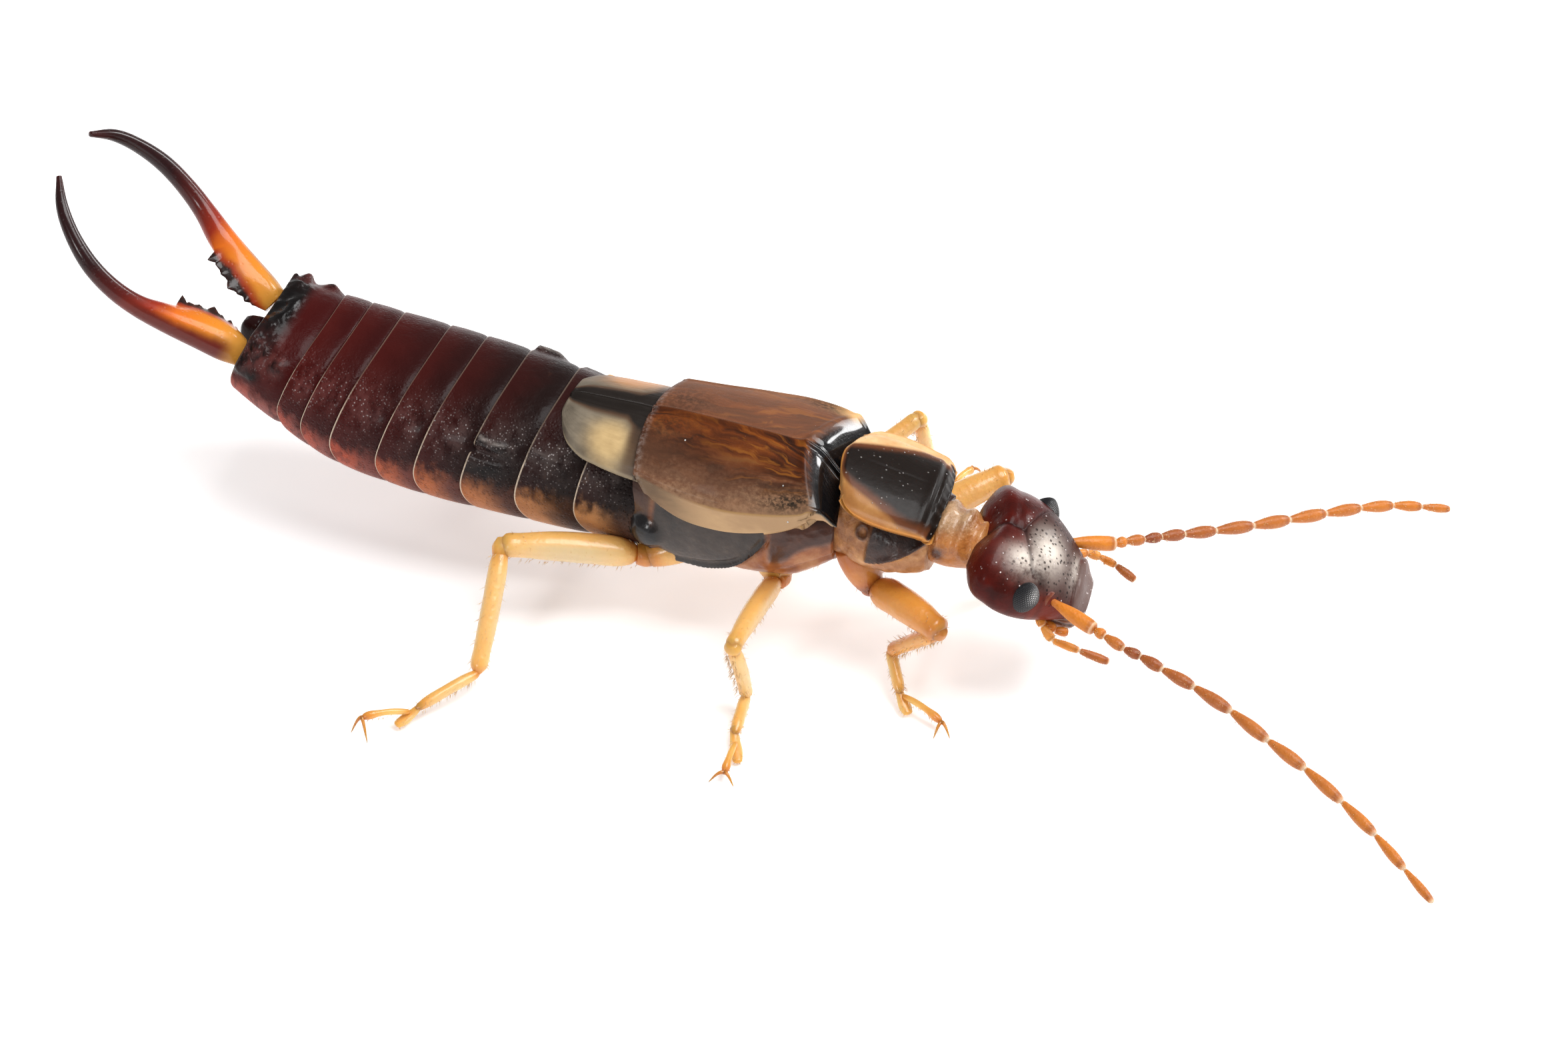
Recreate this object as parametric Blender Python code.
"""A male earwig standing on its six feet, at life size: one closed solid for each part of its body.

The scene is in metres with +Z up. The drawing below is in millimetres: x runs forwards along the
body from the front end of the seam between the wing cases, y to the animal's left, z up from the floor.
"""
import math

import bmesh
import bpy
import numpy as np
from mathutils import Euler, Matrix, Vector

MM = 0.001
ORIGIN_X = -0.591  # drawing x and y of the middle of the whole animal, which is the scene's origin
ORIGIN_Y = 0.208
CLEARANCE = 0.03  # between neighbouring solids
FEELER_RADIUS = 0.25  # legs and feelers are kept at least this stout in the solids
SIDES = {"left": 1.0, "right": -1.0}

# Abdomen: stations of the axis from front to rear
ABDOMEN_X = (-2.72, -4.50, -6.20, -7.60, -8.55, -9.40)
ABDOMEN_Z = (2.00, 2.09, 2.13, 2.25, 2.48, 2.72)
ABDOMEN_HALF_WIDTH = (1.10, 1.28, 1.41, 1.39, 1.25, 1.08)
ABDOMEN_RISE = (0.92, 1.17, 1.17, 1.06, 0.91, 0.78)
ABDOMEN_DROP = (1.00, 1.14, 1.13, 1.03, 0.86, 0.66)
ABDOMEN_TILT = (6.0, 12.0, 14.3, 16.3, 17.6, 20.0)  # degrees, as the tail is carried high
TERGITE_BORDERS = (-2.72, -3.57, -4.52, -5.40, -6.17, -6.81, -7.60, -8.12, -8.55, -9.40)
ABDOMEN_ROUNDNESS = 2.3
TAIL_PLATE_X = (-9.43, -9.64, -9.70)
TAIL_PLATE_HALF_WIDTH = (0.17, 0.17, 0.12)
TAIL_PLATE_HALF_HEIGHT = (0.42, 0.36, 0.22)
TAIL_PLATE_DROP = 0.66  # from the top of the last ring down to the middle of the plate

# Head: a lens-shaped capsule, nose down and turned to the left
HEAD_PLACE = (2.634, 0.0, 2.553)
HEAD_TURN = (-2.9, 22.3, 11.3)  # roll, nose-down pitch and yaw to the left, in degrees
HEAD_X = (-0.06, 0.10, 0.46, 0.82, 1.12, 1.41, 1.66, 1.86, 2.00)
HEAD_HALF_WIDTH = (0.66, 1.04, 1.20, 1.18, 1.05, 0.87, 0.69, 0.55, 0.41)
HEAD_TOP = (0.24, 0.52, 0.62, 0.62, 0.54, 0.40, 0.24, 0.08, -0.05)
HEAD_BOTTOM = (-0.16, -0.31, -0.47, -0.54, -0.54, -0.50, -0.45, -0.41, -0.35)
NAPE_DEPTH = 0.20  # how far the two rear lobes stand behind the middle of the head
NAPE_HALF_WIDTH = 0.52
HEAD_MIDDLE = 0.55  # the widest level, as a share of the height from the crown
HEAD_ROUNDNESS = 2.35
HEAD_STATIONS = 13
HEAD_POINTS = 22
MOUTH_X = (1.30, 1.75, 2.08)
MOUTH_HALF_WIDTH = (0.42, 0.46, 0.30)
MOUTH_TOP = (-0.40, -0.30, -0.20)
MOUTH_BOTTOM = (-0.72, -0.74, -0.60)
EYE_PLACE = (0.99, 1.02, 0.17)
EYE_RADII = (0.22, 0.15, 0.27)
EYE_YAW = -20.0

# Feelers and mouth, in the drawing's frame
ANTENNA_PATHS = {
    "right": ((4.16, -0.52, 2.16), (5.06, -0.75, 1.99), (6.07, -0.92, 1.81), (7.28, -1.16, 1.58),
              (8.66, -1.66, 1.32), (10.04, -2.34, 1.05), (11.12, -3.05, 0.82)),
    "left": ((3.94, 0.92, 2.15), (4.56, 1.47, 1.91), (5.24, 2.25, 1.64), (6.03, 3.18, 1.32),
             (6.86, 4.24, 0.98), (7.66, 5.16, 0.67), (8.34, 5.64, 0.43)),
}
PALP_PATHS = {
    "right": ((3.90, -0.52, 1.80), (4.16, -0.62, 1.48), (4.56, -0.60, 1.34), (4.86, -0.54, 1.26)),
    "left": ((3.80, 0.96, 1.80), (4.12, 1.20, 1.60), (4.38, 1.30, 1.42), (4.66, 1.38, 1.26)),
}

# Neck and prothorax
NECK_PATH = ((1.95, 0.0, 2.46), (2.40, 0.0, 2.48), (2.95, 0.06, 2.46))
NECK_RADII = (0.48, 0.52, 0.40)
PRONOTUM_PLACE = (0.492, 0.007, 3.311)
PRONOTUM_YAW = 8.1
PRONOTUM_PITCH = 15.2
PRONOTUM_LENGTH = 1.62
PRONOTUM_HALF_WIDTH_FRONT = 0.93
PRONOTUM_HALF_WIDTH_REAR = 1.07
PRONOTUM_ARCH = 0.26
PRONOTUM_THICKNESS = 0.34
THORAX_MIDDLE = 0.58  # the widest level, as a share of the height from the top
THORAX_ROUNDNESS = 2.5
THORAX_POINTS = 18
PROTHORAX_X = (0.62, 0.95, 1.40, 1.80, 2.02)
PROTHORAX_HALF_WIDTH = (0.66, 0.76, 0.78, 0.72, 0.60)
PROTHORAX_TOP = (3.10, 3.08, 2.98, 2.86, 2.78)
PROTHORAX_BOTTOM = (1.80, 1.82, 1.88, 1.95, 2.02)

# Winged part of the thorax, wing cases and wing packets
PTEROTHORAX_X = (-2.66, -2.30, -1.60, -0.80, 0.00, 0.56)
PTEROTHORAX_HALF_WIDTH = (0.92, 1.02, 1.08, 1.06, 0.96, 0.72)
PTEROTHORAX_TOP = (2.92, 2.98, 3.02, 3.02, 3.00, 2.86)
PTEROTHORAX_BOTTOM = (1.30, 1.18, 1.16, 1.20, 1.36, 1.74)
WING_THICKNESS = 0.50
SEAM_HALF_GAP = 0.015
TEGMEN_LEAN = 90.0
WING_LEAN = 40.0
TEGMEN_X = (-2.66, -2.40, -1.90, -1.20, -0.50, 0.05, 0.38)
TEGMEN_TOP = (3.46, 3.47, 3.49, 3.51, 3.52, 3.50, 3.34)
TEGMEN_HALF_WIDTH = (1.11, 1.14, 1.17, 1.18, 1.15, 1.09, 1.00)
TEGMEN_EDGE_Z = (3.02, 2.72, 2.50, 2.41, 2.42, 2.52, 2.70)
WING_X = (-4.12, -4.02, -3.75, -3.30, -2.74)
WING_TOP = (3.27, 3.28, 3.29, 3.30, 3.32)
WING_REACH = (0.48, 0.62, 0.80, 0.95, 1.06)
WING_FALL = 0.34

# Forceps: centre line of the left one, its inner flange and its thickness
FORCEPS_PATH = ((-9.56, 0.62, 2.90), (-10.05, 0.80, 3.19), (-10.47, 1.01, 3.45), (-10.86, 1.21, 3.74),
                (-11.24, 1.33, 4.07), (-11.61, 1.33, 4.43), (-11.95, 1.19, 4.78), (-12.25, 0.93, 5.11),
                (-12.48, 0.55, 5.36))
FORCEPS_RISE = 40.0  # degrees from the floor of the plane that both forceps lie in
FORCEPS_OUTER = (0.34, 0.31, 0.26, 0.23, 0.20, 0.19, 0.16, 0.13, 0.05)
FORCEPS_INNER = (0.32, 0.44, 0.36, 0.22, 0.19, 0.18, 0.15, 0.12, 0.05)
FORCEPS_DEPTH = (0.27, 0.26, 0.24, 0.22, 0.20, 0.18, 0.15, 0.12, 0.07)
FORCEPS_STEPS = 22
TOOTH_PLACE = 0.22  # along the forceps
TOOTH_REACH = 0.14
TOOTH_LENGTH = 0.04

# Legs: joints from the root of the coxa to the tip of the claws
LEG_JOINTS = {
    "front_right": ((0.78, -0.40, 2.10), (1.14, -0.44, 1.45), (2.50, -1.12, 1.48), (1.66, -0.90, 0.60),
                    (2.14, -1.47, 0.20), (2.52, -1.56, 0.18), (2.84, -1.72, 0.14)),
    "front_left": ((0.78, 0.40, 2.10), (1.16, 0.62, 1.50), (2.42, 1.88, 2.05), (2.20, 1.20, 0.85),
                   (2.70, 1.72, 0.20), (3.00, 1.84, 0.18), (3.26, 1.92, 0.14)),
    "middle_right": ((-0.50, -0.42, 1.55), (-0.38, -0.62, 1.12), (-0.28, -2.62, 1.44), (-0.20, -2.32, 0.32),
                     (0.08, -3.30, 0.20), (0.11, -3.66, 0.18), (0.12, -4.04, 0.14)),
    "middle_left": ((-0.60, 0.42, 1.55), (-0.56, 0.88, 1.20), (0.66, 2.62, 2.10), (0.76, 2.86, 0.86),
                    (0.98, 3.50, 0.22), (1.04, 3.76, 0.18), (1.10, 4.06, 0.14)),
    "hind_right": ((-1.72, -0.52, 1.50), (-2.36, -0.92, 1.22), (-4.44, -2.00, 1.58), (-4.13, -3.62, 0.40),
                   (-4.86, -4.70, 0.20), (-5.10, -4.98, 0.18), (-5.34, -5.30, 0.14)),
    "hind_left": ((-1.72, 0.52, 1.50), (-2.36, 0.92, 1.22), (-4.44, 2.00, 1.46), (-4.30, 3.12, 0.36),
                  (-4.74, 3.62, 0.20), (-4.96, 3.66, 0.18), (-5.24, 3.70, 0.14)),
}
COXA_RADIUS = 0.30
FEMUR_RADII = {"front": (0.25, 0.30, 0.25), "middle": (0.25, 0.26, 0.25), "hind": (0.25, 0.29, 0.25)}

COLOURS = {
    "chestnut": ((0.10, 0.015, 0.010), 0.25),
    "eye": ((0.02, 0.02, 0.022), 0.35),
    "mouth": ((0.22, 0.09, 0.05), 0.40),
    "amber": ((0.75, 0.38, 0.10), 0.40),
    "russet": ((0.42, 0.17, 0.05), 0.50),
    "membrane": ((0.55, 0.38, 0.24), 0.55),
    "shield": ((0.06, 0.035, 0.028), 0.30),
    "pleura": ((0.12, 0.06, 0.045), 0.40),
    "wing_case": ((0.22, 0.09, 0.04), 0.40),
    "wing_packet": ((0.50, 0.38, 0.22), 0.45),
    "tergite": ((0.07, 0.015, 0.012), 0.35),
    "forceps": ((0.30, 0.06, 0.02), 0.25),
}


def material(name):
    """The named finish as a Principled material, made once."""
    found = bpy.data.materials.get(name)
    if found:
        return found
    colour, roughness = COLOURS[name]
    made = bpy.data.materials.new(name)
    made.use_nodes = True
    shader = made.node_tree.nodes["Principled BSDF"]
    shader.inputs["Base Color"].default_value = (*colour, 1.0)
    shader.inputs["Roughness"].default_value = roughness
    shader.inputs["Metallic"].default_value = 0.0
    return made


def in_scene(place):
    """A point of the drawing, in the scene's metres."""
    return Vector(((place[0] - ORIGIN_X) * MM, (place[1] - ORIGIN_Y) * MM, place[2] * MM))


def placed(name, bm, finish, place=(0.0, 0.0, 0.0), turn=(0.0, 0.0, 0.0)):
    """A mesh drawn in millimetres, put in the scene at a place and with a turn in degrees."""
    bmesh.ops.recalc_face_normals(bm, faces=bm.faces[:])
    bmesh.ops.scale(bm, vec=(MM, MM, MM), verts=bm.verts[:])
    mesh = bpy.data.meshes.new(name)
    bm.to_mesh(mesh)
    bm.free()
    mesh.materials.append(material(finish))
    mesh.shade_smooth()
    mesh.set_sharp_from_angle(angle=math.radians(40))
    thing = bpy.data.objects.new(name, mesh)
    bpy.context.collection.objects.link(thing)
    thing.parent = body
    thing.location = in_scene(place)
    thing.rotation_euler = Euler([math.radians(angle) for angle in turn], "XYZ")
    return thing


def lofted(rings):
    """A closed skin through rings of equally many points, with a flat face on each end."""
    bm = bmesh.new()
    loops = [[bm.verts.new(point) for point in ring] for ring in rings]
    count = len(loops[0])
    for near, far in zip(loops, loops[1:]):
        for i in range(count):
            j = (i + 1) % count
            bm.faces.new((near[i], near[j], far[j], far[i]))
    bm.faces.new(loops[0])
    bm.faces.new(reversed(loops[-1]))
    return bm


def smooth(x, stations, values):
    """A value between stations, on a curve that is level with its neighbours' slope."""
    order = np.argsort(stations)
    xs = np.array(stations, float)[order]
    ys = np.array(values, float)[order]
    slopes = np.gradient(ys, xs)
    i = int(np.clip(np.searchsorted(xs, x) - 1, 0, len(xs) - 2))
    step = xs[i + 1] - xs[i]
    t = min(max((x - xs[i]) / step, 0.0), 1.0)
    start = (1 + 2 * t) * (1 - t) ** 2 * ys[i] + t * (1 - t) ** 2 * step * slopes[i]
    end = t * t * (3 - 2 * t) * ys[i + 1] + t * t * (t - 1) * step * slopes[i + 1]
    return start + end


def outline(half_width, rise, drop, roundness, points):
    """Sideways and upward offsets round a body section, each half a superellipse."""
    found = []
    for i in range(points):
        angle = 2 * math.pi * i / points
        side = math.copysign(abs(math.cos(angle)) ** (2 / roundness), math.cos(angle))
        up = math.copysign(abs(math.sin(angle)) ** (2 / roundness), math.sin(angle))
        found.append((half_width * side, (rise if up > 0 else drop) * up))
    return found


def cut_flat(bm, place, normal):
    """The part of a mesh behind a plane, with the cut filled."""
    everything = bm.verts[:] + bm.edges[:] + bm.faces[:]
    cut = bmesh.ops.bisect_plane(
        bm, geom=everything, plane_co=place, plane_no=normal, dist=1e-5, clear_outer=True
    )
    edges = [item for item in cut["geom_cut"] if isinstance(item, bmesh.types.BMEdge)]
    bmesh.ops.holes_fill(bm, edges=edges, sides=0)


def tube(path, radii, points=10):
    """A round rod along a path, with domed ends, that never sinks through the floor."""
    path = [Vector(place) for place in path]
    rings = []
    across = None
    for i, place in enumerate(path):
        along = (path[min(i + 1, len(path) - 1)] - path[max(i - 1, 0)]).normalized()
        if across is None:
            across = along.orthogonal().normalized()
        across = (across - along * across.dot(along)).normalized()
        over = along.cross(across)
        ends = {0: ((-0.9, 0.35), (-0.55, 0.8)), len(path) - 1: ((0.55, 0.8), (0.9, 0.35))}
        steps = ends.get(i, ())
        steps = (*steps, (0.0, 1.0)) if i == 0 else ((0.0, 1.0), *steps)
        for shift, share in steps:
            centre = place + along * shift * radii[i]
            ring = []
            for k in range(points):
                angle = 2 * math.pi * k / points
                offset = across * math.cos(angle) + over * math.sin(angle)
                ring.append(centre + offset * radii[i] * share)
            rings.append(ring)
    bm = lofted(rings)
    if min(vert.co.z for vert in bm.verts) < 0.0:
        cut_flat(bm, (0, 0, 0), (0, 0, -1))
    return bm


def trimmed(thing, *cutters):
    """Takes the cutters' space out of a solid."""
    for cutter in cutters:
        trim = thing.modifiers.new("trim_" + cutter.name, "BOOLEAN")
        trim.operation = "DIFFERENCE"
        trim.solver = "EXACT"
        trim.object = cutter


def as_cutter(thing):
    """A solid that only takes space out of others."""
    thing.hide_render = True
    thing.display_type = "WIRE"
    return thing


def abdomen_ring(x, grow=0.0, points=22):
    """The section of the abdomen whose middle is at x, square to the raised axis."""
    tilt = math.radians(smooth(x, ABDOMEN_X, ABDOMEN_TILT))
    middle = smooth(x, ABDOMEN_X, ABDOMEN_Z)
    half_width, rise, drop = (
        smooth(x, ABDOMEN_X, sizes) + grow for sizes in (ABDOMEN_HALF_WIDTH, ABDOMEN_RISE, ABDOMEN_DROP)
    )
    ring = outline(half_width, rise, drop, ABDOMEN_ROUNDNESS, points)
    return [(x + up * math.sin(tilt), side, middle + up * math.cos(tilt)) for side, up in ring]


def make_abdomen():
    """Nine rings, from the second to the tenth, and the small tail plate between the forceps."""
    for i, (front, rear) in enumerate(zip(TERGITE_BORDERS, TERGITE_BORDERS[1:])):
        front -= CLEARANCE / 2
        rear += CLEARANCE / 2
        stations = (front, (front + rear) / 2, rear)
        segment = placed(f"abdomen_{i + 2}", lofted([abdomen_ring(x) for x in stations]), "tergite")
        if i < 2:
            trimmed(segment, packet_cutter)
    middle = max(point[2] for point in abdomen_ring(TERGITE_BORDERS[-1])) - TAIL_PLATE_DROP
    rings = []
    for x, half_width, height in zip(TAIL_PLATE_X, TAIL_PLATE_HALF_WIDTH, TAIL_PLATE_HALF_HEIGHT):
        rings.append([(x, side, middle + up) for side, up in outline(half_width, height, height, 3.0, 12)])
    placed("pygidium", lofted(rings), "tergite")


def head_section(x, grow):
    """The section of the head at x in its own frame; the middle of the nape is drawn forwards."""
    half_width = smooth(x, HEAD_X, HEAD_HALF_WIDTH) + grow
    top = smooth(x, HEAD_X, HEAD_TOP) + grow
    bottom = smooth(x, HEAD_X, HEAD_BOTTOM) - grow
    middle = top + (bottom - top) * HEAD_MIDDLE
    fade = max(0.0, 1.0 - (x - HEAD_X[0]) / 0.6)
    ring = []
    for side, up in outline(half_width, top - middle, middle - bottom, HEAD_ROUNDNESS, HEAD_POINTS):
        notch = NAPE_DEPTH * fade * math.exp(-((side / NAPE_HALF_WIDTH) ** 2))
        ring.append((x + notch, side, middle + up))
    return ring


def make_head_shape(name, grow=0.0):
    """The head capsule, or with grow a slightly larger one to trim its neighbours."""
    rings = [head_section(x, grow) for x in np.linspace(HEAD_X[0], HEAD_X[-1], HEAD_STATIONS)]
    rear = [(x - 0.03 - grow, y * 0.7, z * 0.55) for x, y, z in rings[0]]
    front = [(x + 0.06 + grow, y * 0.6, -0.21 + (z + 0.21) * 0.6) for x, y, z in rings[-1]]
    return placed(name, lofted([rear, *rings, front]), "chestnut", HEAD_PLACE, HEAD_TURN)


def make_eye_shape(name, side, grow=0.0):
    """One compound eye, a flattened ball set in the side of the head."""
    bm = bmesh.new()
    bmesh.ops.create_uvsphere(bm, u_segments=12, v_segments=8, radius=1.0)
    radii = [radius + grow for radius in EYE_RADII]
    bmesh.ops.scale(bm, vec=radii, verts=bm.verts[:])
    turn = Matrix.Rotation(math.radians(EYE_YAW * side), 3, "Z")
    bmesh.ops.rotate(bm, cent=(0, 0, 0), matrix=turn, verts=bm.verts[:])
    bmesh.ops.translate(bm, vec=(EYE_PLACE[0], EYE_PLACE[1] * side, EYE_PLACE[2]), verts=bm.verts[:])
    return placed(name, bm, "eye", HEAD_PLACE, HEAD_TURN)


def feeler(name, path, finish, grow=0.0):
    """An antenna or a palp, or with grow a stouter one to trim what lies beside it."""
    return placed(name, tube(path, [FEELER_RADIUS + grow] * len(path), 8), finish)


def make_head():
    """Head, eyes, mouth, palps and antennae."""
    head = make_head_shape("head")
    eye_cutters = []
    for name, side in SIDES.items():
        make_eye_shape("eye_" + name, side)
        eye_cutters.append(as_cutter(make_eye_shape("cutter_eye_" + name, side, CLEARANCE)))
    trimmed(head, *eye_cutters)
    cutter = as_cutter(make_head_shape("cutter_head", CLEARANCE))
    mouth_rings = []
    for x, half_width, top, bottom in zip(MOUTH_X, MOUTH_HALF_WIDTH, MOUTH_TOP, MOUTH_BOTTOM):
        middle = (top + bottom) / 2
        ring = outline(half_width, top - middle, middle - bottom, 2.6, 14)
        mouth_rings.append([(x, side, middle + up) for side, up in ring])
    mouth = placed("mouthparts", lofted(mouth_rings), "mouth", HEAD_PLACE, HEAD_TURN)
    trimmed(mouth, cutter)
    mouth_cutter = as_cutter(mouth.copy())
    mouth_cutter.name = "cutter_mouth"
    bpy.context.collection.objects.link(mouth_cutter)
    for name in SIDES:
        path = ANTENNA_PATHS[name]
        trimmed(feeler("antenna_" + name, path, "russet"), cutter)
        antenna_cutter = as_cutter(feeler("cutter_antenna_" + name, path, "russet", CLEARANCE))
        trimmed(feeler("palp_" + name, PALP_PATHS[name], "amber"), cutter, mouth_cutter, antenna_cutter)
    neck = placed("neck", tube(NECK_PATH, NECK_RADII, 16), "membrane")
    trimmed(neck, cutter, pronotum_cutter, prothorax_cutter)


def body_shape(name, stations, half_widths, tops, bottoms, finish, grow=0.0):
    """A barrel of the thorax with flat ends and a flattened underside."""
    rings = []
    count = 2 * len(stations) - 1
    for i in range(count):
        x = stations[0] + (stations[-1] - stations[0]) * i / (count - 1)
        half_width = smooth(x, stations, half_widths) + grow
        top = smooth(x, stations, tops) + grow
        bottom = smooth(x, stations, bottoms) - grow
        middle = top + (bottom - top) * THORAX_MIDDLE
        if grow and i in (0, count - 1):
            x += grow if i else -grow
        ring = outline(half_width, top - middle, middle - bottom, THORAX_ROUNDNESS, THORAX_POINTS)
        rings.append([(x, side, middle + up) for side, up in ring])
    return placed(name, lofted(rings), finish)


def make_pronotum_shape(name, grow=0.0):
    """The neck shield: a slightly arched plate, wider and rounded behind."""
    rings = []
    for i in range(7):
        t = i / 6
        half_width = PRONOTUM_HALF_WIDTH_REAR + (PRONOTUM_HALF_WIDTH_FRONT - PRONOTUM_HALF_WIDTH_REAR) * t
        corner = 1.0 - 0.10 * max(0.0, 1 - t / 0.25) ** 2
        half_width = half_width * corner + grow
        over = []
        for k in range(9):
            across = -1 + 2 * k / 8
            rear_bow = -0.17 * (1 - across * across) * (1 - t) ** 2
            x = -grow + (PRONOTUM_LENGTH + 2 * grow) * t + rear_bow
            over.append((x, half_width * across, PRONOTUM_ARCH * (1 - abs(across) ** 2.2) + grow))
        under = [(x, y * 0.985, z - PRONOTUM_THICKNESS - 2 * grow) for x, y, z in reversed(over)]
        rings.append(over + under)
    return placed(name, lofted(rings), "shield", PRONOTUM_PLACE, (0.0, PRONOTUM_PITCH, PRONOTUM_YAW))


def sheet_sections(stations, tops, reaches, edges, lean, grow=0.0):
    """Outer and inner edges, for each station, of a plate that bends from the midline down over the side.

    reaches holds the half width at each station, edges the height of the outer edge, and lean the
    angle in degrees by which the plate's inner face turns towards the body at that edge.
    """
    sections = []
    count = 9
    depth = WING_THICKNESS + grow
    for i in range(count):
        x = stations[0] + (stations[-1] - stations[0]) * i / (count - 1)
        top = smooth(x, stations, tops)
        reach = smooth(x, stations, reaches)
        edge = smooth(x, stations, edges)
        x += grow * (2 * i / (count - 1) - 1)
        outer = [(x, SEAM_HALF_GAP, top + grow)]
        inner = [(x, SEAM_HALF_GAP, top - depth)]
        for k in range(1, 8):
            turn = k / 7
            across = math.sin(turn * math.pi / 2) ** 0.8 * reach
            height = top - (top - edge) * (1 - math.cos(turn * math.pi / 2) ** 0.55)
            facing = math.radians(lean) * turn
            outer.append((x, across + grow, height + grow))
            under = max(across - depth * math.sin(facing), SEAM_HALF_GAP)
            inner.append((x, under, height - depth * math.cos(facing)))
        sections.append((outer, inner))
    return sections


def make_wing_pair(name, finish, *sizes):
    """The left and right plates of one pair of wings, and the shape that trims what the pair covers."""
    for side_name, side in SIDES.items():
        rings = []
        for outer, inner in sheet_sections(*sizes):
            rings.append([(x, y * side, z) for x, y, z in outer + inner[::-1]])
        placed(f"{name}_{side_name}", lofted(rings), finish)
    rings = []
    for outer, inner in sheet_sections(*sizes, CLEARANCE):
        half = outer + inner[::-1]
        rings.append(half[1:-1] + [(x, -y, z) for x, y, z in reversed(half[1:-1])])
    return as_cutter(placed("cutter_" + name, lofted(rings), finish))


def make_thorax():
    """Neck shield, the part of the thorax under it, and the winged part under the wing cases."""
    make_pronotum_shape("pronotum")
    shield_cutter = as_cutter(make_pronotum_shape("cutter_pronotum", CLEARANCE))
    sizes = (PROTHORAX_X, PROTHORAX_HALF_WIDTH, PROTHORAX_TOP, PROTHORAX_BOTTOM, "pleura")
    prothorax = body_shape("prothorax", *sizes)
    trimmed(prothorax, shield_cutter)
    front_cutter = as_cutter(body_shape("cutter_prothorax", *sizes, grow=CLEARANCE))
    sizes = (PTEROTHORAX_X, PTEROTHORAX_HALF_WIDTH, PTEROTHORAX_TOP, PTEROTHORAX_BOTTOM, "pleura")
    pterothorax = body_shape("pterothorax", *sizes)
    trimmed(pterothorax, tegmen_cutter)
    rear_cutter = as_cutter(body_shape("cutter_pterothorax", *sizes, grow=CLEARANCE))
    return shield_cutter, front_cutter, rear_cutter


def on_forceps(t):
    """The point of the left forceps' centre line at a share of its length."""
    stations = np.linspace(0.0, 1.0, len(FORCEPS_PATH))
    return Vector([smooth(t, stations, places) for places in zip(*FORCEPS_PATH)])


def make_forceps():
    """The two horny forceps, with a broad flange and one large tooth on the inner edge near the base."""
    stations = np.linspace(0.0, 1.0, len(FORCEPS_PATH))
    rise = math.radians(FORCEPS_RISE)
    plane_normal = Vector((math.sin(rise), 0.0, math.cos(rise)))
    for name, side in SIDES.items():
        rings = []
        for t in np.linspace(0.0, 1.0, FORCEPS_STEPS):
            centre = on_forceps(t)
            along = (on_forceps(min(t + 0.02, 1.0)) - on_forceps(max(t - 0.02, 0.0))).normalized()
            inward = plane_normal.cross(along).normalized()
            over = along.cross(inward)
            outer = smooth(t, stations, FORCEPS_OUTER)
            inner = smooth(t, stations, FORCEPS_INNER)
            depth = smooth(t, stations, FORCEPS_DEPTH)
            inner += TOOTH_REACH * math.exp(-(((t - TOOTH_PLACE) / TOOTH_LENGTH) ** 2))
            ring = []
            for k in range(10):
                angle = 2 * math.pi * k / 10
                reach = inner if math.cos(angle) > 0 else outer
                offset = inward * math.cos(angle) * reach + over * math.sin(angle) * depth
                place = centre + offset
                ring.append((place.x, place.y * side, place.z))
            rings.append(ring)
        cercus = placed("cercus_" + name, lofted(rings), "forceps")
        trimmed(cercus, tail_cutter)


def bend_plane(before, joint, after):
    """The plane that halves the bend of a leg at a joint."""
    return joint, ((after - joint).normalized() - (before - joint).normalized()).normalized()


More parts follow.
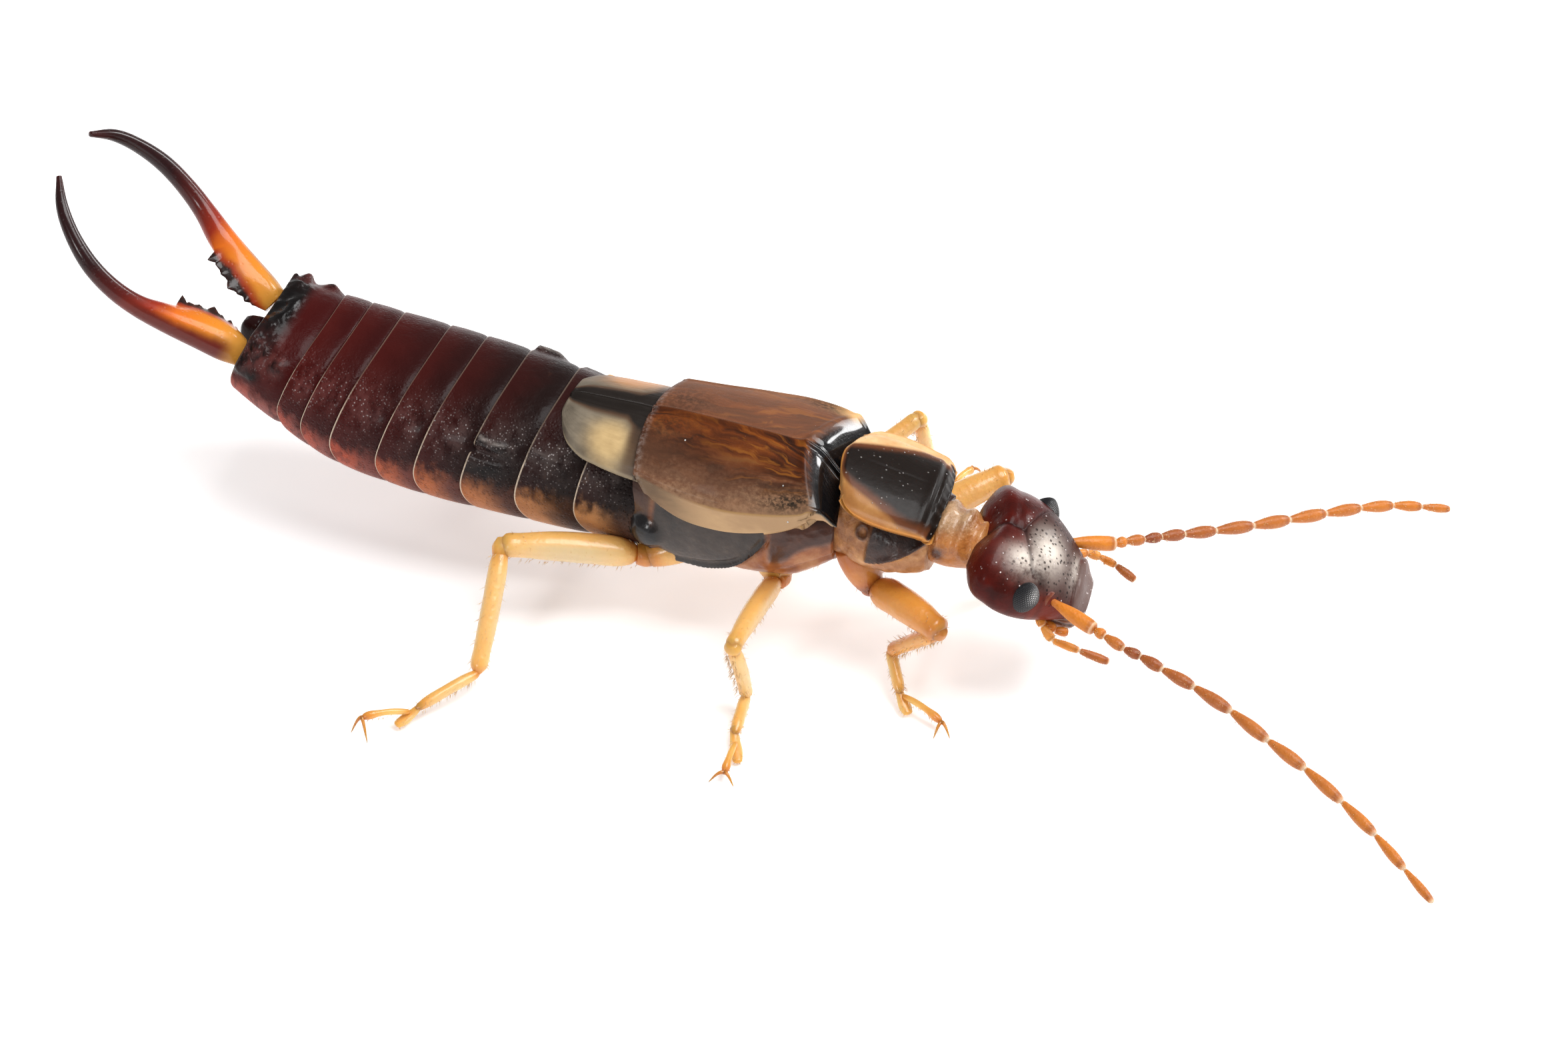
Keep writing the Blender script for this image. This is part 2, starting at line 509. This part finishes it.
def make_leg(name, joints):
    """Coxa, femur, tibia, tarsus and claws of one leg, cut square across where they meet."""
    kind = name.split("_")[0]
    root, hip, knee, ankle, heel, toe, tip = [Vector(place) for place in joints]
    spans = {
        "coxa": ([root, hip], [COXA_RADIUS, COXA_RADIUS]),
        "femur": ([hip, (hip + knee) / 2, knee], FEMUR_RADII[kind]),
        "tibia": ([knee, ankle], [FEELER_RADIUS, FEELER_RADIUS]),
        "tarsus": ([ankle, heel, toe], [FEELER_RADIUS, FEELER_RADIUS, FEELER_RADIUS]),
        "claws": ([toe, tip], [FEELER_RADIUS * 0.9, FEELER_RADIUS * 0.7]),
    }
    bends = {
        "coxa": (root, hip, knee),
        "femur": (hip, knee, ankle),
        "tibia": (knee, ankle, heel),
        "tarsus": (heel, toe, tip),
    }
    order = list(spans)
    for i, part in enumerate(order):
        path, radii = spans[part]
        bm = tube(path, radii, 10)
        if part in bends:
            joint, normal = bend_plane(*bends[part])
            cut_flat(bm, joint - normal * CLEARANCE / 2, normal)
        if i:
            joint, normal = bend_plane(*bends[order[i - 1]])
            cut_flat(bm, joint + normal * CLEARANCE / 2, -normal)
        piece = placed(f"{part}_{name}", bm, "amber")
        if part in ("coxa", "femur"):
            trimmed(piece, prothorax_cutter, pterothorax_cutter)


for thing in list(bpy.data.objects):
    bpy.data.objects.remove(thing, do_unlink=True)
body = bpy.data.objects.new("earwig", None)
bpy.context.collection.objects.link(body)

tegmen_cutter = make_wing_pair(
    "tegmen", "wing_case", TEGMEN_X, TEGMEN_TOP, TEGMEN_HALF_WIDTH, TEGMEN_EDGE_Z, TEGMEN_LEAN
)
packet_edges = [top - WING_FALL * reach**2 for top, reach in zip(WING_TOP, WING_REACH)]
packet_cutter = make_wing_pair("wing", "wing_packet", WING_X, WING_TOP, WING_REACH, packet_edges, WING_LEAN)
pronotum_cutter, prothorax_cutter, pterothorax_cutter = make_thorax()
make_abdomen()
tail_rings = [abdomen_ring(x, CLEARANCE) for x in (TERGITE_BORDERS[-2], TERGITE_BORDERS[-1] - CLEARANCE)]
tail_cutter = as_cutter(placed("cutter_tail", lofted(tail_rings), "tergite"))
make_forceps()
make_head()
for leg, leg_joints in LEG_JOINTS.items():
    make_leg(leg, leg_joints)
